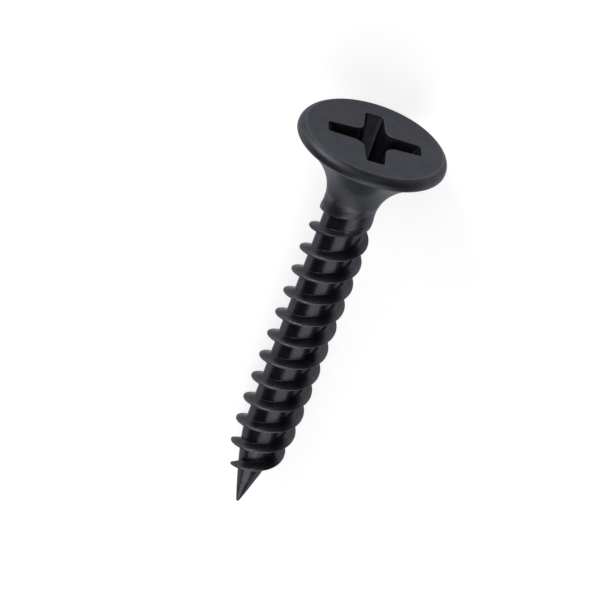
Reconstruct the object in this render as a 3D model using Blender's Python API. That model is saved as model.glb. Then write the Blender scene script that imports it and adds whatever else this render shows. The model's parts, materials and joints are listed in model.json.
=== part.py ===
# A bugle-head plasterboard screw with a fine twin-start thread, lying at rest on a flat surface.
# It is cold formed in one piece: a turned blank, two helical ridges that run out of the point
# and into the neck, and a cross recess in the flat of the head.
# The screw is modelled upright, point down at z = 0, and laid down at the end.

import math

import bmesh
import bpy
from mathutils import Matrix, Vector

MM = 0.001

# Overall length, point to flat
LENGTH = 23.7 * MM

# Head: a flat top, a rim that leaves it at an edge and rounds over, and a concave bugle down to the neck
HEAD_DIAMETER = 8.08 * MM
RIM_WIDTH = 0.34 * MM
RIM_EDGE_ANGLE = math.radians(30)
RIM_FULLNESS = 0.55
RIM_RISE = 0.51 * MM
RIM_FALL = 0.27 * MM
RIM_UNDERCUT = 0.54 * MM
RIM_TUCK = math.radians(54)
BUGLE_DEPTH = 4.15 * MM
BUGLE_ANGLE = math.radians(35)
BUGLE_FLARE = 1.54 * MM
BUGLE_SWEEP = 1.46 * MM

# Neck: the plain shank below the bugle, down to where the thread runs into it
NECK_DIAMETER = 2.81 * MM
NECK_LENGTH = 0.5 * MM

# Core and point: a cylinder that draws in to the point as an ogive
CORE_DIAMETER = 2.3 * MM
POINT_LENGTH = 4.8 * MM
POINT_FULLNESS = 1.27
POINT_BLUNTNESS = 0.07 * MM

# Thread: right-hand, two starts half a turn apart
STARTS = 2
PITCH = 1.4 * MM
THREAD_DIAMETER = 3.4 * MM
FLANK_ANGLE = math.radians(46)
CREST_WIDTH = 0.08 * MM
TAPER_LENGTH = 6.6 * MM
TAPER_FULLNESS = 2.75
FIRST_START = 1.9 * MM
START_LAG = 1.15 * MM
START_RAMP = 0.63 * MM
RUNOUT_LENGTH = 2.1 * MM
RUNOUT_END = 0.4 * MM
SINK = 0.12 * MM

# Collar: the foot of the neck, where each groove runs out under a helical edge
# Its shares are of the way round from one ridge to the next, past where the edge begins
COLLAR_DROP = 0.18 * MM
COLLAR_RISE = 1.1 * MM
COLLAR_SLANT = 0.12 * MM
COLLAR_LIP = 0.03 * MM
COLLAR_BLEND = 0.3
GROOVE_FADE_BEGIN = 0.4
GROOVE_FADE_END = 0.78
GROOVE_LEAD_IN = 0.25
GROOVE_OVERCUT = 0.05 * MM
GROOVE_CLEARANCE = 0.2 * MM
FLOOR_GAP = 0.004 * MM

# Recess: four tapered wings with rounded inner corners and a conical floor
WING_REACH = 2.51 * MM
WING_WIDTH = 1.0 * MM
WING_ROOT_WIDTH = 1.15 * MM
WING_CORNER = 0.13 * MM
INNER_FILLET = 0.62 * MM
RECESS_DEPTH = 2.2 * MM
RECESS_FLOOR_REACH = 1.2 * MM
RECESS_FLOOR_WIDTH = 0.62 * MM
RECESS_FLOOR_FILLET = 0.3 * MM
RECESS_FLOOR_CORNER = 0.08 * MM
RECESS_POINT = 0.4 * MM
RECESS_TURN = math.radians(10.6)

# Facets round the axis: a multiple of four, so that one of them lies flat on the surface
FACETS = 40
RIM_STEPS = 4
UNDER_STEPS = 3
BUGLE_STEPS = 9
POINT_STEPS = 8
FILLET_STEPS = 4
CORNER_STEPS = 2

HEAD_RADIUS = HEAD_DIAMETER / 2
FLAT_RADIUS = HEAD_RADIUS - RIM_WIDTH
NECK_RADIUS = NECK_DIAMETER / 2
CORE_RADIUS = CORE_DIAMETER / 2
CREST_RADIUS = THREAD_DIAMETER / 2
LEAD = PITCH * STARTS
COLLAR_HEIGHT = LENGTH - BUGLE_DEPTH - NECK_LENGTH
FLANK_SLOPE = math.tan(FLANK_ANGLE / 2)
NECK_FOOT = COLLAR_HEIGHT - (COLLAR_BLEND + GROOVE_LEAD_IN) * PITCH
FACET_TURN = math.tau / FACETS
WELD = 1e-4 * MM
SHARP_ANGLE = math.radians(26)


def smooth(amount):
    """Ease from 0 to 1, level at both ends."""
    amount = min(max(amount, 0.0), 1.0)
    return amount * amount * (3 - 2 * amount)


def core_radius(height):
    """The core's radius: an ogive at the point, then a cylinder."""
    reach = min(max(height / POINT_LENGTH, 0.0), 1.0)
    return POINT_BLUNTNESS + (CORE_RADIUS - POINT_BLUNTNESS) * (1 - (1 - reach) ** POINT_FULLNESS)


def crest_radius(height, begin):
    """The radius of a ridge's crest, from where it leaves the point to where the neck takes it in."""
    reach = min(height / TAPER_LENGTH, 1.0)
    crest = CREST_RADIUS * (1 - (1 - reach) ** TAPER_FULLNESS)
    buried = core_radius(height) - SINK / 2
    crest = buried + (crest - buried) * smooth((height - begin) / START_RAMP)
    lip = NECK_RADIUS + COLLAR_LIP
    crest += (lip - crest) * smooth((height - COLLAR_HEIGHT + RUNOUT_LENGTH) / RUNOUT_LENGTH)
    return crest - SINK * smooth((height - COLLAR_HEIGHT) / RUNOUT_END)


def half_width(crest, radius):
    """Half of a ridge's width at a radius, where its crest has the other."""
    return CREST_WIDTH / 2 + (crest - radius) * FLANK_SLOPE


def ridge_section(height, begin):
    """A ridge's section where its crest has this height, as (radius, height)."""
    crest = crest_radius(height, begin)
    root = core_radius(height) - SINK
    wide = half_width(crest, root)
    narrow = CREST_WIDTH / 2
    return [(root, height - wide), (crest, height - narrow), (crest, height + narrow), (root, height + wide)]


def groove_section(height):
    """The section of a groove's cutter where its middle has this height, as (radius, height)."""
    past = (height + PITCH / 2 - COLLAR_HEIGHT) / PITCH
    fading = smooth((past - GROOVE_FADE_BEGIN) / (GROOVE_FADE_END - GROOVE_FADE_BEGIN))
    floor = CORE_RADIUS + FLOOR_GAP + (NECK_RADIUS + GROOVE_OVERCUT - CORE_RADIUS) * fading
    outer = NECK_RADIUS + GROOVE_CLEARANCE
    lower_crest = crest_radius(height - PITCH / 2, FIRST_START)
    upper_crest = crest_radius(height + PITCH / 2, FIRST_START)
    edge = PITCH / 2 - COLLAR_DROP - (PITCH - COLLAR_RISE) * max(past, 0)
    slant = COLLAR_SLANT / (NECK_RADIUS - CORE_RADIUS)
    collar = smooth(past / COLLAR_BLEND + 1)
    lower = {}
    upper = {}
    for radius in (floor, outer):
        lower[radius] = half_width(lower_crest, radius) - PITCH / 2 - GROOVE_OVERCUT
        flank = PITCH / 2 - half_width(upper_crest, radius) + GROOVE_OVERCUT
        wall = edge - slant * (NECK_RADIUS - radius)
        upper[radius] = flank + (wall - flank) * collar
    return [(floor, height + lower[floor]), (outer, height + lower[outer]),
            (outer, height + upper[outer]), (floor, height + upper[floor])]


def ellipse_arc(centre, across, along, first, last, steps):
    """Points on an arc of an ellipse, from one turn to another."""
    turns = [first + (last - first) * step / steps for step in range(steps + 1)]
    return [(centre[0] + across * math.cos(turn), centre[1] + along * math.sin(turn)) for turn in turns]


def bezier(points, steps):
    """Points on a cubic curve, without its first one."""
    found = []
    for step in range(1, steps + 1):
        after = step / steps
        before = 1 - after
        weights = (before ** 3, 3 * before ** 2 * after, 3 * before * after ** 2, after ** 3)
        found.append(tuple(sum(w * p[axis] for w, p in zip(weights, points)) for axis in (0, 1)))
    return found


def blank_profile():
    """The blank's half outline, from the flat down to the point, as (radius, height)."""
    top = (FLAT_RADIUS, LENGTH)
    widest = (HEAD_RADIUS, LENGTH - RIM_RISE)
    out = RIM_WIDTH * RIM_FULLNESS
    leaving = (top[0] + out, top[1] - out * math.tan(RIM_EDGE_ANGLE))
    rim = [top] + bezier([top, leaving, (widest[0], widest[1] + RIM_RISE * RIM_FULLNESS), widest], RIM_STEPS)
    centre = (HEAD_RADIUS - RIM_UNDERCUT, widest[1])
    under = ellipse_arc(centre, RIM_UNDERCUT, RIM_FALL, 0, -RIM_TUCK, UNDER_STEPS)
    edge = under[-1]
    flare = (edge[0] - BUGLE_FLARE * math.cos(BUGLE_ANGLE), edge[1] - BUGLE_FLARE * math.sin(BUGLE_ANGLE))
    bottom = (NECK_RADIUS, LENGTH - BUGLE_DEPTH)
    bugle = bezier([edge, flare, (bottom[0], bottom[1] + BUGLE_SWEEP), bottom], BUGLE_STEPS)
    outline = [(0.0, LENGTH)] + rim + under[1:] + bugle
    outline += [(NECK_RADIUS, NECK_FOOT), (CORE_RADIUS, NECK_FOOT)]
    for step in range(POINT_STEPS, 0, -1):
        height = POINT_LENGTH * (step / POINT_STEPS)
        outline.append((core_radius(height), height))
    outline += [(POINT_BLUNTNESS, POINT_BLUNTNESS / 2), (0.0, 0.0)]
    return outline


def make_object(name, bm, material):
    """A mesh object from a bmesh, with smooth faces and sharp edges kept."""
    bmesh.ops.recalc_face_normals(bm, faces=bm.faces)
    mesh = bpy.data.meshes.new(name)
    bm.to_mesh(mesh)
    bm.free()
    mesh.shade_smooth()
    mesh.set_sharp_from_angle(angle=SHARP_ANGLE)
    mesh.materials.append(material)
    made = bpy.data.objects.new(name, mesh)
    bpy.context.scene.collection.objects.link(made)
    return made


def make_blank(material):
    """The turned blank: its outline spun about the axis. The neck reaches down past the collar."""
    bm = bmesh.new()
    turn = Matrix.Rotation(math.pi / 2 + FACET_TURN / 2, 3, "Z")
    points = [bm.verts.new(turn @ Vector((radius, 0, height))) for radius, height in blank_profile()]
    edges = [bm.edges.new(pair) for pair in zip(points, points[1:])]
    bmesh.ops.spin(bm, geom=points + edges, axis=(0, 0, 1), cent=(0, 0, 0), angle=math.tau,
                   steps=FACETS, use_merge=True)
    bmesh.ops.remove_doubles(bm, verts=bm.verts, dist=WELD)
    return make_object("screw", bm, material)


def sweep_helix(name, start, known, low, high, section_at, material):
    """A body swept along a helix from the height low to high, with its section given at every height.

    The helix has the height known on the left of the screw, or on the right for the second start."""
    rise = LEAD / FACETS
    steps_below = math.floor((known - low) / rise)
    steps = steps_below + math.ceil((high - known) / rise)
    lowest = known - steps_below * rise
    first = section_at(lowest)
    turn = Matrix.Rotation(math.pi + math.tau * start / STARTS - steps_below * FACET_TURN, 3, "Z")

    bm = bmesh.new()
    corner_of = bm.verts.layers.int.new("corner")
    corners = [bm.verts.new(turn @ Vector((radius, 0, height))) for radius, height in first]
    for corner, point in enumerate(corners):
        point[corner_of] = corner
    section = bm.faces.new(corners)
    bmesh.ops.spin(bm, geom=[section] + list(section.edges) + corners, axis=(0, 0, 1), cent=(0, 0, 0),
                   dvec=(0, 0, rise), angle=steps * FACET_TURN, steps=steps)
    for point in bm.verts:
        corner = point[corner_of]
        climbed = point.co.z - first[corner][1]
        radius, height = section_at(lowest + climbed)[corner]
        around = Vector((point.co.x, point.co.y, 0)).normalized() * radius
        point.co = (around.x, around.y, height)
    return make_object(name, bm, material)


def make_groove(start, material):
    """The cutter that lets one groove run out into the neck, begun in the open below the neck's foot."""
    low = NECK_FOOT - PITCH / 2
    middle = COLLAR_HEIGHT - PITCH / 2
    high = middle + GROOVE_FADE_END * PITCH
    return sweep_helix("groove_%d" % (start + 1), start, middle, low, high, groove_section, material)


def make_ridge(start, material):
    """One start of the thread."""
    begin = FIRST_START + START_LAG * start
    return sweep_helix("thread_start_%d" % (start + 1), start, COLLAR_HEIGHT, begin,
                       COLLAR_HEIGHT + RUNOUT_END, lambda height: ridge_section(height, begin), material)


def wing_outline(reach, width, root_width, corner, fillet):
    """One wing and the inner corner after it, as (x, y), with the wing along +X."""
    points = ellipse_arc((reach - corner, corner - width / 2), corner, corner, -math.pi / 2, 0, CORNER_STEPS)
    points += [(x, -y) for x, y in reversed(points)]
    centre = root_width / 2 + fillet
    return points + ellipse_arc((centre, centre), fillet, fillet, -math.pi / 2, -math.pi, FILLET_STEPS)


def recess_rings():
    """The recess outline above the flat, at the flat and at its floor, each as a list of points."""
    floor_share = RECESS_FLOOR_WIDTH / WING_WIDTH
    mouth = (WING_REACH, WING_WIDTH, WING_ROOT_WIDTH, WING_CORNER, INNER_FILLET)
    floor = (RECESS_FLOOR_REACH, RECESS_FLOOR_WIDTH, WING_ROOT_WIDTH * floor_share,
             RECESS_FLOOR_CORNER, RECESS_FLOOR_FILLET)
    # The cutter starts above the flat, its walls carried on in a straight line
    above = tuple(2 * upper - lower for upper, lower in zip(mouth, floor))
    rings = []
    for sizes, height in ((above, LENGTH + RECESS_DEPTH), (mouth, LENGTH), (floor, LENGTH - RECESS_DEPTH)):
        ring = []
        for wing in range(4):
            turn = Matrix.Rotation(RECESS_TURN + wing * math.pi / 2, 3, "Z")
            ring += [turn @ Vector((x, y, height)) for x, y in wing_outline(*sizes)]
        rings.append(ring)
    return rings


def make_recess(material):
    """The cutter of the cross recess: its outline extruded down level by level, to a pointed floor."""
    bm = bmesh.new()
    index_of = bm.verts.layers.int.new("index")
    rings = recess_rings()
    points = [bm.verts.new(co) for co in rings[0]]
    for index, point in enumerate(points):
        point[index_of] = index
    face = bm.faces.new(points)
    for level, ring in enumerate(rings[1:]):
        made = bmesh.ops.extrude_face_region(bm, geom=[face])["geom"]
        if level > 0:
            bm.faces.remove(face)
        for item in made:
            if isinstance(item, bmesh.types.BMVert):
                item.co = ring[item[index_of]]
            elif isinstance(item, bmesh.types.BMFace):
                face = item
    centre = bmesh.ops.poke(bm, faces=[face])["verts"][0]
    centre.co = (0, 0, LENGTH - RECESS_DEPTH - RECESS_POINT)
    return make_object("recess", bm, material)


def make_material():
    """Black phosphated steel, lightly oiled."""
    material = bpy.data.materials.new("black_phosphate")
    material.use_nodes = True
    shader = material.node_tree.nodes["Principled BSDF"]
    shader.inputs["Base Color"].default_value = (0.045, 0.047, 0.052, 1)
    shader.inputs["Metallic"].default_value = 0.75
    shader.inputs["Roughness"].default_value = 0.42
    return material


def lay_down(screw):
    """Lay the screw on its head's rim and the thread near the point, centred over the origin.

    Its axis runs along +X and climbs towards the head."""
    points = [v.co.copy() for v in screw.data.vertices]
    head = [p for p in points if p.z > LENGTH / 2]
    thread = [p for p in points if p.z < LENGTH / 2]
    tilt = 0.0
    for _ in range(3):
        rim = max(head, key=lambda p: p.y * math.cos(tilt) - p.z * math.sin(tilt))
        tilt = min(math.atan2(rim.y - p.y, rim.z - p.z) for p in thread)
    axis = Vector((math.cos(tilt), 0, math.sin(tilt)))
    across = Vector((0, -1, 0))
    placed = Matrix((across, axis.cross(across), axis)).transposed()
    spots = [placed @ p for p in points]
    low = Vector(min(p[i] for p in spots) for i in range(3))
    high = Vector(max(p[i] for p in spots) for i in range(3))
    shift = Vector((-(low.x + high.x) / 2, -(low.y + high.y) / 2, -low.z))
    screw.matrix_world = Matrix.Translation(shift) @ placed.to_4x4()


def combine(screw, cutters):
    """Apply each cutter to the screw with a Boolean, delete it, and close the slivers it leaves."""
    for cutter, operation in cutters:
        boolean = screw.modifiers.new(cutter.name, "BOOLEAN")
        boolean.object = cutter
        boolean.operation = operation
        boolean.solver = "EXACT"
    graph = bpy.context.evaluated_depsgraph_get()
    finished = bpy.data.meshes.new_from_object(screw.evaluated_get(graph))
    finished.name = screw.name
    screw.modifiers.clear()
    screw.data = finished
    bm = bmesh.new()
    bm.from_mesh(finished)
    bmesh.ops.remove_doubles(bm, verts=bm.verts, dist=WELD)
    bmesh.ops.dissolve_degenerate(bm, edges=bm.edges, dist=WELD)
    bm.to_mesh(finished)
    bm.free()
    finished.set_sharp_from_angle(angle=SHARP_ANGLE)
    for cutter, _ in cutters:
        bpy.data.objects.remove(cutter, do_unlink=True)


def main():
    for old in list(bpy.data.objects):
        bpy.data.objects.remove(old, do_unlink=True)
    material = make_material()
    screw = make_blank(material)
    cutters = [(make_groove(start, material), "DIFFERENCE") for start in range(STARTS)]
    cutters += [(make_ridge(start, material), "UNION") for start in range(STARTS)]
    cutters.append((make_recess(material), "DIFFERENCE"))
    combine(screw, cutters)
    lay_down(screw)
    weighted = screw.modifiers.new("flat faces stay flat", "WEIGHTED_NORMAL")
    weighted.keep_sharp = True


main()
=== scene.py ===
import json
import math

import bmesh
import bpy
from mathutils import Matrix, Vector


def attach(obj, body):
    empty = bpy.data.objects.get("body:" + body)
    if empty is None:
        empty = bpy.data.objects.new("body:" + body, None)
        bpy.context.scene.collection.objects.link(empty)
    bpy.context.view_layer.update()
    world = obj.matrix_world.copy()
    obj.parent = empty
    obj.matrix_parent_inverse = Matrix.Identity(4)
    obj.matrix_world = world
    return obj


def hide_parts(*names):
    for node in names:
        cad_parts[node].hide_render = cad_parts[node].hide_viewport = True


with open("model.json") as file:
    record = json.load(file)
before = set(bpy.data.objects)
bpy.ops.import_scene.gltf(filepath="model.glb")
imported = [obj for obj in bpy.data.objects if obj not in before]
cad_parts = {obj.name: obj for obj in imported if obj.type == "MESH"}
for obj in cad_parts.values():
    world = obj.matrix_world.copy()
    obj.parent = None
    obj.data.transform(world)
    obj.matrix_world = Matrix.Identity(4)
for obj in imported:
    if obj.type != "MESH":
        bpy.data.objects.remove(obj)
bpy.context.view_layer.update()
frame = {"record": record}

mm = 0.001
stepsAround = 160  # columns round the screw's axis, four times the points of a recess wing
columnTurn = math.tau / stepsAround
weldDistance = 1e-3 * mm
levelGap = 1e-4 * mm  # points closer to a height than this lie on it
cutGap = 1e-7 * mm
roundShare = 0.45  # the most of a side that a round takes, so that two never meet


def clamped(amount):
    return min(max(amount, 0.0), 1.0)


def smooth(amount):
    amount = clamped(amount)
    return amount * amount * (3 - 2 * amount)


def mixed(first, second, share):
    return first + (second - first) * share


# Where the screw lies: its head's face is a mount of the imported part, so its axis comes from there

lie = {
    "length": 23.7 * mm,
    "mountReach": 2.3 * mm,  # the mount's point, out from the axis between two wings
    "recessTurn": math.radians(10.6),
}


def screwPlace():
    mount = [m for m in frame["record"]["mounts"] if m["name"] == "head_face"][0]
    along = Vector(mount["axis"]).normalized()
    across = Vector((0, -1, 0))
    turned = Matrix((across, along.cross(across), along)).transposed()
    around = lie["recessTurn"] + math.pi / 4
    local = Vector((math.cos(around), math.sin(around), 0)) * lie["mountReach"]
    local.z = lie["length"]
    return Matrix.Translation(Vector(mount["pos_m"]) - turned @ local) @ turned.to_4x4()


place = screwPlace()
axis = (place.to_3x3() @ Vector((0, 0, 1))).normalized()
tilt = math.atan2(axis.z, axis.x)


# Head: flat, rounded rim and bugle

head = {
    "radius": 4.04 * mm,
    "flatRadius": 3.7 * mm,
    "edgeAngle": math.radians(30),  # how steeply the rim leaves the flat
    "edgeRound": 0.06 * mm,
    "rimFullness": 0.55,
    "rimRise": 0.51 * mm,
    "rimFall": 0.27 * mm,
    "rimUndercut": 0.54 * mm,
    "rimTuck": math.radians(54),
    "bugleDepth": 4.15 * mm,
    "bugleAngle": math.radians(35),
    "bugleFlare": 1.54 * mm,
    "bugleSweep": 1.46 * mm,
    "neckRadius": 1.405 * mm,
    "support": 0.04 * mm,  # the ring that keeps the flat's shading flat
    "joinGap": 0.02 * mm,  # how close the bugle's lowest ring comes to the thread's
    "edgeSteps": 4,
    "rimSteps": 12,
    "underSteps": 8,
    "bugleSteps": 44,
}


def ellipseArc(centre, across, along, first, last, steps):
    turns = [mixed(first, last, step / steps) for step in range(steps + 1)]
    return [(centre[0] + across * math.cos(turn), centre[1] + along * math.sin(turn)) for turn in turns]


def curveThrough(points, steps):
    found = []
    for step in range(1, steps + 1):
        after = step / steps
        before = 1 - after
        weights = (before ** 3, 3 * before ** 2 * after, 3 * before * after ** 2, after ** 3)
        found.append(tuple(sum(w * p[side] for w, p in zip(weights, points)) for side in (0, 1)))
    return found


def roundCorner(before, corner, after, reach, steps):
    # points on a curve that rounds one corner of a section
    ends = []
    for other in (before, after):
        length = math.hypot(other[0] - corner[0], other[1] - corner[1])
        share = min(reach / length, roundShare)
        ends.append((mixed(corner[0], other[0], share), mixed(corner[1], other[1], share)))
    found = []
    for step in range(steps + 1):
        share = step / steps
        near = (1 - share) ** 2
        middle = 2 * share * (1 - share)
        far = share ** 2
        found.append(tuple(near * a + middle * b + far * c for a, b, c in zip(ends[0], corner, ends[1])))
    return found


def headProfile():
    # the rim leaves the flat at an edge, rounds over and tucks under, and the bugle sweeps down to the neck
    top = (head["flatRadius"], lie["length"])
    widest = (head["radius"], lie["length"] - head["rimRise"])
    out = (widest[0] - top[0]) * head["rimFullness"]
    leaving = (top[0] + out, top[1] - out * math.tan(head["edgeAngle"]))
    falling = (widest[0], widest[1] + head["rimRise"] * head["rimFullness"])
    rim = curveThrough([top, leaving, falling, widest], head["rimSteps"])
    inside = (top[0] - head["edgeRound"] * 2, top[1])
    rim = roundCorner(inside, top, leaving, head["edgeRound"], head["edgeSteps"]) + rim[1:]
    tuckCentre = (head["radius"] - head["rimUndercut"], widest[1])
    under = ellipseArc(tuckCentre, head["rimUndercut"], head["rimFall"],
                       0, -head["rimTuck"], head["underSteps"])
    edge = under[-1]
    flare = (edge[0] - head["bugleFlare"] * math.cos(head["bugleAngle"]),
             edge[1] - head["bugleFlare"] * math.sin(head["bugleAngle"]))
    bottom = (head["neckRadius"], lie["length"] - head["bugleDepth"])
    sweep = (bottom[0], bottom[1] + head["bugleSweep"])
    bugle = curveThrough([edge, flare, sweep, bottom], head["bugleSteps"])
    return rim, under[1:], bugle


rim, under, bugle = headProfile()


def blankRadius(height):
    # the bare shank's radius under the head, where it flares into the bugle
    for upper, lower in zip(bugle, bugle[1:]):
        if lower[1] <= height <= upper[1]:
            return mixed(lower[0], upper[0], (height - lower[1]) / (upper[1] - lower[1]))
    return head["neckRadius"]


# Thread: two starts, the point they grow out of and the collar they run into

thread = {
    "starts": 2,
    "pitch": 1.4 * mm,
    "coreRadius": 1.15 * mm,
    "crestRadius": 1.7 * mm,
    "crestWidth": 0.08 * mm,
    "flankSlope": math.tan(math.radians(23)),
    "pointLength": 4.8 * mm,
    "pointFullness": 1.27,
    "pointSteps": 14,
    "bluntness": 0.07 * mm,
    # the rings of the blunt tip, each a share of the bluntness and a height
    "tip": ((0.95, 0.035 * mm), (0.7, 0.012 * mm), (0.35, 0.003 * mm), (0.0, 0.0)),
    "taperLength": 6.6 * mm,  # over which the ridges grow to their full height
    "taperFullness": 2.75,
    "firstStart": 1.9 * mm,
    "startLag": 1.15 * mm,  # how much higher the second ridge begins
    "startRamp": 0.63 * mm,
    "sink": 0.12 * mm,
    "runoutLength": 2.1 * mm,
    "neckLength": 0.5 * mm,
    "collarDrop": 0.18 * mm,
    "collarRise": 1.1 * mm,  # how far the collar's edge climbs in half a turn
    "collarSlant": 0.12 * mm,
    "collarLip": 0.045 * mm,
    "lipSpread": 0.28 * mm,  # how far up the neck the lip's flare reaches
    "collarBlend": 0.3,  # this share and the two below are of a pitch
    "fadeBegin": 0.4,
    "fadeEnd": 0.78,
    "rootRound": 0.02 * mm,
    "rootSteps": 6,
    "crestRound": 0.035 * mm,
    "crestSteps": 3,
    "least": 0.02 * mm,  # the narrowest flank, where a ridge has died out
    "lowJoin": 0.9 * mm,  # where the point's rings take over from the helix
    "highJoin": 20.05 * mm,  # and the head's rings
}
lead = thread["pitch"] * thread["starts"]
collarHeight = lie["length"] - head["bugleDepth"] - thread["neckLength"]


def coreRadius(height):
    grown = 1 - (1 - clamped(height / thread["pointLength"])) ** thread["pointFullness"]
    return mixed(thread["bluntness"], thread["coreRadius"], grown)


def taperRadius(height):
    # the cone that the crests follow up from the point
    grown = 1 - (1 - clamped(height / thread["taperLength"])) ** thread["taperFullness"]
    return thread["crestRadius"] * grown


def crestRadius(height, begin):
    buried = coreRadius(height) - thread["sink"] / 2
    crest = mixed(buried, taperRadius(height), smooth((height - begin) / thread["startRamp"]))
    past = (height - collarHeight) / thread["pitch"]
    lip = blankRadius(height) + thread["collarLip"] * smooth(1 - past / thread["collarBlend"])
    crest = mixed(crest, lip, smooth((height - collarHeight) / thread["runoutLength"] + 1))
    return max(crest, coreRadius(height))


def fadingOf(middle):
    # how far a groove whose middle has this height has risen into the neck
    past = (middle + thread["pitch"] / 2 - collarHeight) / thread["pitch"]
    return smooth((past - thread["fadeBegin"]) / (thread["fadeEnd"] - thread["fadeBegin"]))


def floorRadius(height, fading):
    return mixed(coreRadius(height), blankRadius(height), fading)


def ridgeSection(height, begin):
    # one ridge from the middle of the groove below it to the middle of the one above, as (radius, height)
    half = thread["pitch"] / 2
    narrow = thread["crestWidth"] / 2
    below = fadingOf(height - half)
    above = fadingOf(height + half)
    past = (height - collarHeight) / thread["pitch"]
    collar = smooth(past / thread["collarBlend"] + 1)
    edge = -thread["collarDrop"] - (thread["pitch"] - thread["collarRise"]) * clamped(past)
    lower = mixed(-narrow, edge, collar)
    crest = crestRadius(height, begin)
    lip = blankRadius(height + lower) + thread["collarLip"] * (1 - below)
    lowerCrest = mixed(crest, lip, smooth(past / thread["collarBlend"]))
    slant = thread["collarSlant"] / (head["neckRadius"] - thread["coreRadius"])
    slope = mixed(thread["flankSlope"], slant, collar)
    foot = lower - max((lowerCrest - floorRadius(height + lower, below)) * slope, thread["least"])
    rise = (crest - floorRadius(height + narrow, above)) * thread["flankSlope"]
    root = narrow + max(rise, thread["least"], thread["lipSpread"] * above)
    corners = [
        (floorRadius(height - half, below), -half),
        (floorRadius(height + foot, below), foot),
        (lowerCrest, lower),
        (max(crest, floorRadius(height + narrow, above)), narrow),
        (floorRadius(height + root, above), root),
        (floorRadius(height + half, above), half),
    ]
    points = [corners[0]]
    for index, kind in ((1, "root"), (2, "crest"), (3, "crest"), (4, "root")):
        rounded = roundCorner(*corners[index - 1:index + 2], thread[kind + "Round"], thread[kind + "Steps"])
        if kind == "root":
            points.append(tuple((a + b) / 2 for a, b in zip(points[-1], rounded[0])))
        points += rounded
    points.append(tuple((a + b) / 2 for a, b in zip(points[-1], corners[-1])))
    points.append(corners[-1])
    return [(radius, height + offset) for radius, offset in points]


def addPiece(bm, piece):
    # a sweep is quick only in a small mesh, so each is made by itself and joined on
    mesh = bpy.data.meshes.new("swept")
    piece.to_mesh(mesh)
    piece.free()
    bm.from_mesh(mesh)
    bpy.data.meshes.remove(mesh)


def sweepTurn(bm, begin, lowest, firstTurn):
    # one turn of a ridge's strip, swept up its helix from a height
    rise = lead / stepsAround
    first = ridgeSection(lowest, begin)
    turn = Matrix.Rotation(firstTurn, 3, "Z")
    piece = bmesh.new()
    cornerOf = piece.verts.layers.int.new("corner")
    points = [piece.verts.new(turn @ Vector((radius, 0, height))) for radius, height in first]
    for corner, point in enumerate(points):
        point[cornerOf] = corner
    edges = [piece.edges.new(pair) for pair in zip(points, points[1:])]
    bmesh.ops.spin(piece, geom=points + edges, axis=(0, 0, 1), cent=(0, 0, 0), dvec=(0, 0, rise),
                   angle=math.tau, steps=stepsAround)
    sections = [ridgeSection(lowest + step * rise, begin) for step in range(stepsAround + 1)]
    for point in piece.verts:
        corner = point[cornerOf]
        step = round((point.co.z - first[corner][1]) / rise)
        radius, height = sections[step][corner]
        around = firstTurn + step * columnTurn
        point.co = (radius * math.cos(around), radius * math.sin(around), height)
    addPiece(bm, piece)


def sweepRidge(bm, start):
    # the strip of one start, turn by turn, past both joins
    begin = thread["firstStart"] + thread["startLag"] * start
    firstTurn = math.pi + math.tau * start / thread["starts"]
    below = math.ceil((collarHeight - thread["lowJoin"] + thread["pitch"]) / lead)
    above = math.ceil((thread["highJoin"] + thread["pitch"] - collarHeight) / lead)
    for turn in range(-below, above):
        sweepTurn(bm, begin, collarHeight + turn * lead, firstTurn)


def cutLevel(bm, height, keepAbove):
    # cut the helix level, then bring the cut ring's points to the columns, where the rings meet it
    geom = list(bm.verts) + list(bm.edges) + list(bm.faces)
    cut = bmesh.ops.bisect_plane(bm, geom=geom, dist=cutGap, plane_co=(0, 0, height), plane_no=(0, 0, 1),
                                 clear_outer=not keepAbove, clear_inner=keepAbove)["geom_cut"]
    for point in cut:
        if isinstance(point, bmesh.types.BMVert):
            column = round(math.atan2(point.co.y, point.co.x) / columnTurn) * columnTurn
            radius = blankRadius(height) if height > collarHeight else coreRadius(height)
            point.co = (radius * math.cos(column), radius * math.sin(column), height)


def spinProfile(bm, profile):
    piece = bmesh.new()
    points = [piece.verts.new((radius, 0, height)) for radius, height in profile]
    edges = [piece.edges.new(pair) for pair in zip(points, points[1:])]
    bmesh.ops.spin(piece, geom=points + edges, axis=(0, 0, 1), cent=(0, 0, 0), angle=math.tau,
                   steps=stepsAround, use_merge=True)
    addPiece(bm, piece)


# Recess: four tapered wings, rounded at the mouth, down to a conical pit

recess = {
    "mouth": {
        "reach": 2.51 * mm,
        "width": 1.0 * mm,
        "root": 1.15 * mm,
        "corner": 0.13 * mm,
        "fillet": 0.62 * mm,
    },
    "floor": {
        "reach": 1.2 * mm,
        "width": 0.62 * mm,
        "root": 0.71 * mm,
        "corner": 0.08 * mm,
        "fillet": 0.3 * mm,
    },
    "depth": 2.2 * mm,
    "floorBevel": ((0.02 * mm, 0.03 * mm), (0.06 * mm, 0.05 * mm)),  # inwards and down
    "pit": 0.4 * mm,
    "pitRings": (0.6, 0.25),
    "edgeRound": 0.035 * mm,
    "support": 0.03 * mm,
    "edgeShare": 1.05,  # of the wings' reach: nearer the axis, the round at the mouth is the recess's
    "insideShare": 1.02,  # and its walls are
    "tipSteps": 3,
    "cornerSteps": 4,
    "sideSteps": 7,
    "filletSteps": 6,
    "wallSteps": 8,
    "roundSteps": 4,
}


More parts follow.
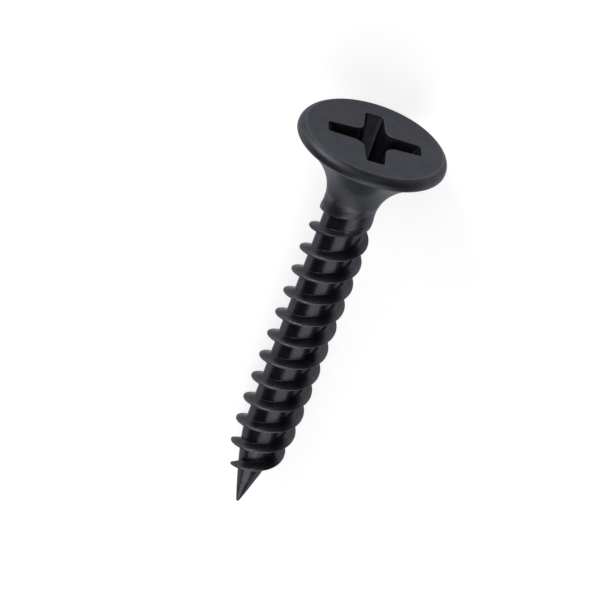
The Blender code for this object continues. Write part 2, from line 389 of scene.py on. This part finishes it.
def halfWing(sizes):
    # from the middle of a wing's tip to the middle of the inner corner after it, with the wing along +X
    width = sizes["width"] / 2
    corner = sizes["corner"]
    tip = (sizes["reach"], width - corner)
    points = [(tip[0], mixed(0, tip[1], step / recess["tipSteps"])) for step in range(recess["tipSteps"])]
    points += ellipseArc((tip[0] - corner, tip[1]), corner, corner, 0, math.pi / 2, recess["cornerSteps"])
    centre = sizes["root"] / 2 + sizes["fillet"]
    bend = ellipseArc((centre, centre), sizes["fillet"], sizes["fillet"],
                      -math.pi / 2, -math.pi * 3 / 4, recess["filletSteps"])
    last = points[-1]
    for step in range(1, recess["sideSteps"]):
        share = step / recess["sideSteps"]
        points.append((mixed(last[0], bend[0][0], share), mixed(last[1], bend[0][1], share)))
    return points + bend


def recessRing(sizes, height):
    half = halfWing(sizes)
    back = [(y, x) for x, y in reversed(half[1:-1])]  # mirrored over the inner corner, towards the next wing
    ring = []
    for wing in range(4):
        turn = Matrix.Rotation(lie["recessTurn"] + wing * math.pi / 2, 3, "Z")
        ring += [turn @ Vector((x, y, height)) for x, y in half + back]
    return ring


def grownSizes(sizes, amount):
    return {"reach": sizes["reach"] + amount, "width": sizes["width"] + 2 * amount,
            "root": sizes["root"] + 2 * amount, "corner": sizes["corner"] + amount,
            "fillet": sizes["fillet"] - amount}


def recessLevels():
    top = lie["length"]
    size = recess["edgeRound"]
    levels = [(grownSizes(recess["mouth"], size + recess["support"]), top)]
    for step in range(recess["roundSteps"] + 1):
        turn = math.pi / 2 * step / recess["roundSteps"]
        sizes = grownSizes(recess["mouth"], size * (1 - math.sin(turn)))
        levels.append((sizes, top - size * (1 - math.cos(turn))))
    for step in range(1, recess["wallSteps"] + 1):
        share = step / recess["wallSteps"]
        sizes = {key: mixed(recess["mouth"][key], recess["floor"][key], share) for key in recess["mouth"]}
        levels.append((sizes, top - size - (recess["depth"] - size) * share))
    for inward, drop in recess["floorBevel"]:
        levels.append((grownSizes(recess["floor"], -inward), top - recess["depth"] - drop))
    return levels


def pushFace(bm, face, indexOf, spots):
    # extrude the recess's floor, with each point brought to its spot
    made = bmesh.ops.extrude_face_region(bm, geom=[face])["geom"]
    bm.faces.remove(face)
    for item in made:
        if isinstance(item, bmesh.types.BMVert):
            item.co = spots[item[indexOf]]
    return [item for item in made if isinstance(item, bmesh.types.BMFace)][0]


def sinkRecess(bm):
    # close the flat with a face and extrude it level by level, down to the pit
    indexOf = bm.verts.layers.int.new("index")
    ring = [v for v in bm.verts if v.is_boundary and abs(v.co.z - lie["length"]) < levelGap]
    ring.sort(key=lambda v: math.atan2(v.co.y, v.co.x) % math.tau)
    shift = round(lie["recessTurn"] / columnTurn)
    ring = ring[shift:] + ring[:shift]
    for index, point in enumerate(ring):
        point[indexOf] = index
    face = bm.faces.new(ring)
    for sizes, height in recessLevels():
        lowest = recessRing(sizes, height)
        face = pushFace(bm, face, indexOf, lowest)
    for share in recess["pitRings"]:
        spots = [(at.x * share, at.y * share, at.z - recess["pit"] * (1 - share)) for at in lowest]
        face = pushFace(bm, face, indexOf, spots)
    pit = bmesh.ops.poke(bm, faces=[face])["verts"][0]
    pit.co = (0, 0, lowest[0].z - recess["pit"])


# Wear and painted highlight: a lighter bare colour where the coating has rubbed thin, on the crests and the
# head's edges, which also paints the highlight lines that catch along them

wearAndHighlight = {
    "crestDepth": 0.07 * mm,  # how far down a ridge the rubbed and painted-highlight band reaches
    "crest": 0.8,
    "edgeReach": 0.09 * mm,
    "flatEdge": 0.4,
    "rim": 0.3,
    "mouth": 0.6,
    "collar": 0.5,
}


def nearness(distance, reach):
    return smooth(1 - abs(distance) / reach)


def wornAndHighlitAt(spot):
    # the share of lighter bare colour at a point of the upright screw: coating rubbed off, and painted
    # highlight along the edges
    radius = math.hypot(spot.x, spot.y)
    below = lie["length"] - spot.z
    if below < head["rimRise"] * 2:
        edge = math.hypot(radius - head["flatRadius"], below)
        widest = math.hypot(radius - head["radius"], below - head["rimRise"])
        wornAndHighlit = max(wearAndHighlight["flatEdge"] * nearness(edge, wearAndHighlight["edgeReach"]),
                   wearAndHighlight["rim"] * nearness(widest, head["rimRise"]))
        if radius < recess["mouth"]["reach"] * recess["edgeShare"] and 0 < below < recess["edgeRound"]:
            wornAndHighlit = max(wornAndHighlit, wearAndHighlight["mouth"])
        return wornAndHighlit
    if spot.z > collarHeight + thread["pitch"]:
        return 0.0
    if spot.z > collarHeight - thread["collarDrop"] * 2:
        lip = thread["collarLip"]
        return wearAndHighlight["collar"] * nearness(radius - head["neckRadius"] - lip, lip)
    crest = taperRadius(spot.z)
    if crest - coreRadius(spot.z) < wearAndHighlight["crestDepth"]:
        return 0.0
    return wearAndHighlight["crest"] * nearness(min(radius - crest, 0), wearAndHighlight["crestDepth"])


def rolledAt(spot):
    # 1 where the thread's dies and the recess's punch left the steel smooth, 0 on the head and the neck
    radius = math.hypot(spot.x, spot.y)
    if spot.z < collarHeight - thread["pitch"]:
        return 1.0
    if spot.z > collarHeight + thread["pitch"]:
        skin = blankRadius(spot.z) if spot.z < bugle[0][1] else head["flatRadius"]
        inside = radius < min(skin - thread["collarLip"], recess["mouth"]["reach"] * recess["insideShare"])
        return smooth((lie["length"] - spot.z) / recess["edgeRound"] - 1) if inside else 0.0
    off = abs(radius - blankRadius(spot.z))
    return smooth((off - thread["collarLip"]) / thread["collarLip"])


def makeScrew(material):
    bm = bmesh.new()
    for start in range(thread["starts"]):
        sweepRidge(bm, start)
    bmesh.ops.remove_doubles(bm, verts=bm.verts, dist=weldDistance)
    cutLevel(bm, thread["highJoin"], keepAbove=False)
    cutLevel(bm, thread["lowJoin"], keepAbove=True)
    print("thread swept,", len(bm.faces), "faces")

    flat = [(rim[0][0] - head["support"], lie["length"])]
    lower = [point for point in bugle if point[1] > thread["highJoin"] + head["joinGap"]]
    join = [(blankRadius(thread["highJoin"]), thread["highJoin"])]
    spinProfile(bm, flat + rim + under + lower + join)
    steps = thread["pointSteps"]
    heights = [thread["lowJoin"] * (1 - step / steps) for step in range(steps)]
    cone = [(coreRadius(height), height) for height in heights]
    spinProfile(bm, cone + [(thread["bluntness"] * share, height) for share, height in thread["tip"]])
    bmesh.ops.remove_doubles(bm, verts=bm.verts, dist=weldDistance)
    sinkRecess(bm)
    bmesh.ops.recalc_face_normals(bm, faces=bm.faces)
    openEdges = [edge for edge in bm.edges if len(edge.link_faces) != 2]
    print("screw shaped,", len(bm.faces), "faces,", len(openEdges), "open edges")
    wornAndHighlitOf = bm.verts.layers.float.new("wornAndHighlit")
    rolledOf = bm.verts.layers.float.new("rolled")
    for vert in bm.verts:
        vert[wornAndHighlitOf] = wornAndHighlitAt(vert.co)
        vert[rolledOf] = rolledAt(vert.co)

    bm.transform(place)
    mesh = bpy.data.meshes.new("screwBody")
    bm.to_mesh(mesh)
    bm.free()
    mesh.shade_smooth()
    mesh.materials.append(material)
    made = bpy.data.objects.new("screwBody", mesh)
    bpy.context.scene.collection.objects.link(made)
    return made


# Materials

def newMaterial(name):
    material = bpy.data.materials.new(name)
    material.use_nodes = True
    nodes = material.node_tree.nodes
    nodes.clear()
    return material, nodes, material.node_tree.links


def addNode(nodes, kind, **values):
    # a shader node with its settings, and the values of its sockets by name
    made = nodes.new(kind)
    for name, value in values.items():
        if hasattr(made, name):
            setattr(made, name, value)
        else:
            made.inputs[name.replace("_", " ")].default_value = value
    return made


phosphate = {
    "dark": (0.04, 0.042, 0.049, 1),
    "light": (0.06, 0.0625, 0.072, 1),
    # the lighter bare colour: rubbed coating, and also painted highlight on the crests and edges
    "bareAndHighlight": (0.12, 0.12, 0.126, 1),
    "metallic": 0.88,
    "edgeTint": (0.66, 0.67, 0.71, 1),
    "rolledEdgeTint": (0.45, 0.45, 0.47, 1),
    "colourDrift": (0.78, 1.24),  # the noise from the darkest to the lightest coat
    "roughDrift": (0.75, 1.3),
    "smoothest": 0.41,
    "roughest": 0.5,
    "burnish": 0.19,  # how much smoother the rolled thread is
    "rolledGrain": 0.35,  # and the share of the grain that is left on it
    "bareRoughness": 0.3,
    # the size, detail and roughness of each noise
    "crystal": (0.08 * mm, 2.0, 0.6),  # the coating's grain
    "mottle": (0.7 * mm, 2.0, 0.5),  # patches of a thicker and a thinner coat
    "rub": (0.16 * mm, 3.0, 0.6),
    "rubDrift": (0.35, 0.6),
    "leastRubbed": 0.75,
    "grainHeight": 0.0016 * mm,
}


def addNoise(nodes, links, spots, look):
    size, detail, roughness = look
    made = addNode(nodes, "ShaderNodeTexNoise", Scale=1 / size, Detail=detail, Roughness=roughness)
    links.new(spots.outputs["Object"], made.inputs["Vector"])
    return made


def blackPhosphate():
    material, nodes, links = newMaterial("black_phosphate")
    output = addNode(nodes, "ShaderNodeOutputMaterial")
    shader = addNode(nodes, "ShaderNodeBsdfPrincipled", Metallic=phosphate["metallic"])
    spots = addNode(nodes, "ShaderNodeTexCoord")
    crystal = addNoise(nodes, links, spots, phosphate["crystal"])
    mottle = addNoise(nodes, links, spots, phosphate["mottle"])
    rub = addNoise(nodes, links, spots, phosphate["rub"])

    # the coat's colour drifts with the mottle and is speckled by the crystals
    speckle = addNode(nodes, "ShaderNodeMath", operation="ADD")
    links.new(crystal.outputs[0], speckle.inputs[0])
    links.new(mottle.outputs[0], speckle.inputs[1])
    thinnest, thickest = phosphate["colourDrift"]
    drift = addNode(nodes, "ShaderNodeMapRange", From_Min=thinnest, From_Max=thickest)
    links.new(speckle.outputs[0], drift.inputs["Value"])
    coat = addNode(nodes, "ShaderNodeMix", data_type="RGBA")
    coat.inputs[6].default_value = phosphate["dark"]
    coat.inputs[7].default_value = phosphate["light"]
    links.new(drift.outputs[0], coat.inputs[0])

    # the wear and the painted edge highlight break up along the edges
    wornAndHighlit = addNode(nodes, "ShaderNodeAttribute", attribute_name="wornAndHighlit")
    least, most = phosphate["rubDrift"]
    broken = addNode(nodes, "ShaderNodeMapRange", From_Min=least, From_Max=most,
                     To_Min=phosphate["leastRubbed"])
    links.new(rub.outputs[0], broken.inputs["Value"])
    bareAndHighlight = addNode(nodes, "ShaderNodeMath", operation="MULTIPLY", use_clamp=True)
    links.new(wornAndHighlit.outputs["Fac"], bareAndHighlight.inputs[0])
    links.new(broken.outputs[0], bareAndHighlight.inputs[1])
    # painted highlight: the lighter bare colour on crests and edges is partly rubbed coating, partly the
    # highlight lines that catch there
    colour = addNode(nodes, "ShaderNodeMix", data_type="RGBA")
    colour.inputs[7].default_value = phosphate["bareAndHighlight"]
    links.new(coat.outputs[2], colour.inputs[6])
    links.new(bareAndHighlight.outputs[0], colour.inputs[0])
    links.new(colour.outputs[2], shader.inputs["Base Color"])

    # the rolled thread is smoother, and darker where it is seen from the side
    least, most = phosphate["roughDrift"]
    satin = addNode(nodes, "ShaderNodeMapRange", From_Min=least, From_Max=most,
                    To_Min=phosphate["smoothest"], To_Max=phosphate["roughest"])
    links.new(speckle.outputs[0], satin.inputs["Value"])
    rolled = addNode(nodes, "ShaderNodeAttribute", attribute_name="rolled")
    edgeTint = addNode(nodes, "ShaderNodeMix", data_type="RGBA")
    edgeTint.inputs[6].default_value = phosphate["edgeTint"]
    edgeTint.inputs[7].default_value = phosphate["rolledEdgeTint"]
    links.new(rolled.outputs["Fac"], edgeTint.inputs[0])
    links.new(edgeTint.outputs[2], shader.inputs["Specular Tint"])
    burnished = addNode(nodes, "ShaderNodeMath", operation="MULTIPLY_ADD")
    links.new(rolled.outputs["Fac"], burnished.inputs[0])
    burnished.inputs[1].default_value = -phosphate["burnish"]
    links.new(satin.outputs[0], burnished.inputs[2])
    roughness = addNode(nodes, "ShaderNodeMix", data_type="FLOAT")
    roughness.inputs[3].default_value = phosphate["bareRoughness"]
    links.new(burnished.outputs[0], roughness.inputs[2])
    links.new(bareAndHighlight.outputs[0], roughness.inputs[0])
    links.new(roughness.outputs[0], shader.inputs["Roughness"])

    grain = addNode(nodes, "ShaderNodeBump", Distance=phosphate["grainHeight"])
    left = addNode(nodes, "ShaderNodeMapRange", To_Min=1.0, To_Max=phosphate["rolledGrain"])
    links.new(rolled.outputs["Fac"], left.inputs["Value"])
    links.new(left.outputs[0], grain.inputs["Strength"])
    links.new(crystal.outputs[0], grain.inputs["Height"])
    links.new(grain.outputs[0], shader.inputs["Normal"])
    links.new(shader.outputs[0], output.inputs["Surface"])
    return material


screw = makeScrew(blackPhosphate())
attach(screw, "root")
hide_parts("screw")


# Floor, white where the lamps reach it, with the screw's soft shadow on it

floorLook = {
    "size": 1.2,
    "colour": (0.8, 0.8, 0.8, 1),
    "glow": 0.65,
}


def makeFloor():
    bm = bmesh.new()
    bmesh.ops.create_grid(bm, x_segments=1, y_segments=1, size=floorLook["size"] / 2)
    lowest = min(v.co.z for v in screw.data.vertices)
    bmesh.ops.translate(bm, verts=bm.verts, vec=(0, 0, min(lowest, 0)))
    mesh = bpy.data.meshes.new("floor")
    bm.to_mesh(mesh)
    bm.free()
    floor = bpy.data.objects.new("floor", mesh)
    bpy.context.scene.collection.objects.link(floor)
    material, nodes, links = newMaterial("floorWhite")
    output = addNode(nodes, "ShaderNodeOutputMaterial")
    paint = addNode(nodes, "ShaderNodeBsdfDiffuse", Color=floorLook["colour"])
    glow = addNode(nodes, "ShaderNodeEmission")
    path = addNode(nodes, "ShaderNodeLightPath")
    direct = addNode(nodes, "ShaderNodeMath", operation="MAXIMUM")
    links.new(path.outputs["Is Camera Ray"], direct.inputs[0])
    links.new(path.outputs["Is Glossy Ray"], direct.inputs[1])
    seen = addNode(nodes, "ShaderNodeMath", operation="MAXIMUM")
    links.new(direct.outputs[0], seen.inputs[0])
    links.new(path.outputs["Is Transmission Ray"], seen.inputs[1])
    strength = addNode(nodes, "ShaderNodeMath", operation="MULTIPLY")
    links.new(seen.outputs[0], strength.inputs[0])
    strength.inputs[1].default_value = floorLook["glow"]
    links.new(strength.outputs[0], glow.inputs["Strength"])
    both = addNode(nodes, "ShaderNodeAddShader")
    links.new(paint.outputs[0], both.inputs[0])
    links.new(glow.outputs[0], both.inputs[1])
    links.new(both.outputs[0], output.inputs["Surface"])
    mesh.materials.append(material)


makeFloor()
print("floor laid")


# Camera: looks down on the lying screw, so that it stands leaning in the picture

view = {
    "rise": math.radians(30),  # the view's angle above the plane square to the screw's axis
    "lean": math.radians(20.74),  # how far the screw leans over in the picture
    "focal": 4000.0,  # in pixels of a 600 pixel picture
    "scale": 18930.0,  # pixels for each metre at the screw's middle
    "headAt": (374.8, 138.2),  # where the head's centre and the point fall in the picture
    "pointAt": (237.6, 500.7),
    "picture": 600.0,
    "sensor": 36.0,
    "nearest": 0.01,
    "aimSteps": 4,  # shifts that bring the screw's ends to those places
}


def viewAxes():
    towards = Vector((math.sin(view["rise"] - tilt), 0, math.cos(view["rise"] - tilt)))
    right = Vector((0, -1, 0))
    up = towards.cross(right)
    leaned = right * math.cos(view["lean"]) + up * math.sin(view["lean"])
    return leaned, up * math.cos(view["lean"]) - right * math.sin(view["lean"]), towards


def makeCamera():
    right, up, towards = viewAxes()
    ends = [place @ Vector((0, 0, lie["length"])), place @ Vector((0, 0, 0))]
    spot = (ends[0] + ends[1]) / 2 + towards * (view["focal"] / view["scale"])
    wanted = [(a + b) / 2 for a, b in zip(view["headAt"], view["pointAt"])]
    for _ in range(view["aimSteps"]):
        seen = [0.0, 0.0]
        for end in ends:
            depth = (spot - end).dot(towards)
            seen[0] += (view["picture"] / 2 + view["focal"] * (end - spot).dot(right) / depth) / 2
            seen[1] += (view["picture"] / 2 - view["focal"] * (end - spot).dot(up) / depth) / 2
        spot += right * ((seen[0] - wanted[0]) / view["scale"]) - up * ((seen[1] - wanted[1]) / view["scale"])
    lens = bpy.data.cameras.new("camera")
    lens.sensor_width = view["sensor"]
    lens.lens = view["focal"] / view["picture"] * view["sensor"]
    lens.clip_start = view["nearest"]
    camera = bpy.data.objects.new("camera", lens)
    camera.matrix_world = Matrix.Translation(spot) @ Matrix((right, up, towards)).transposed().to_4x4()
    bpy.context.scene.collection.objects.link(camera)
    bpy.context.scene.camera = camera


makeCamera()
print("camera placed")


# Lamps: each is aimed at the screw from an angle round its axis, 0 on the camera's side

lamps = {
    "keySoftbox": {"around": 19, "rise": -30, "width": 0.27, "height": 0.3, "radiance": 1.4},
    "neckSoftbox": {"around": -15, "rise": -67, "width": 0.2, "height": 0.14, "radiance": 2.0},
    "rimSoftbox": {"around": -73, "rise": 45, "width": 0.18, "height": 0.16, "radiance": 5.2},
    "fillSoftbox": {"around": -12, "rise": 40, "width": 0.3, "height": 0.3, "radiance": 0.5},
}
studio = {
    "distance": 0.3,  # from each lamp to the screw
    "aimAt": 0.55,  # as a share of the screw's length
    "surround": 0.06,  # the white light that comes from all sides
}


def makeLamps():
    middle = place @ Vector((0, 0, lie["length"] * studio["aimAt"]))
    toCamera = Vector((-axis.z, 0, axis.x))
    side = Vector((0, -1, 0))
    for name, lamp in lamps.items():
        around = math.radians(lamp["around"])
        rise = math.radians(lamp["rise"])
        out = (toCamera * math.cos(around) + side * math.sin(around)) * math.cos(rise) + axis * math.sin(rise)
        light = bpy.data.lights.new(name, "AREA")
        light.shape = "RECTANGLE"
        light.size = lamp["width"]
        light.size_y = lamp["height"]
        light.energy = lamp["radiance"] * math.pi * lamp["width"] * lamp["height"]
        made = bpy.data.objects.new(name, light)
        upward = (axis - out * axis.dot(out)).normalized()
        turned = Matrix((upward.cross(out), upward, out)).transposed().to_4x4()
        made.matrix_world = Matrix.Translation(middle + out * studio["distance"]) @ turned
        bpy.context.scene.collection.objects.link(made)


def makeSurround():
    world = bpy.data.worlds.new("studio")
    world.use_nodes = True
    background = world.node_tree.nodes["Background"]
    background.inputs["Color"].default_value = (1, 1, 1, 1)
    background.inputs["Strength"].default_value = studio["surround"]
    bpy.context.scene.world = world


makeLamps()
makeSurround()
bpy.context.scene.view_settings.view_transform = "Standard"
print("studio lit")
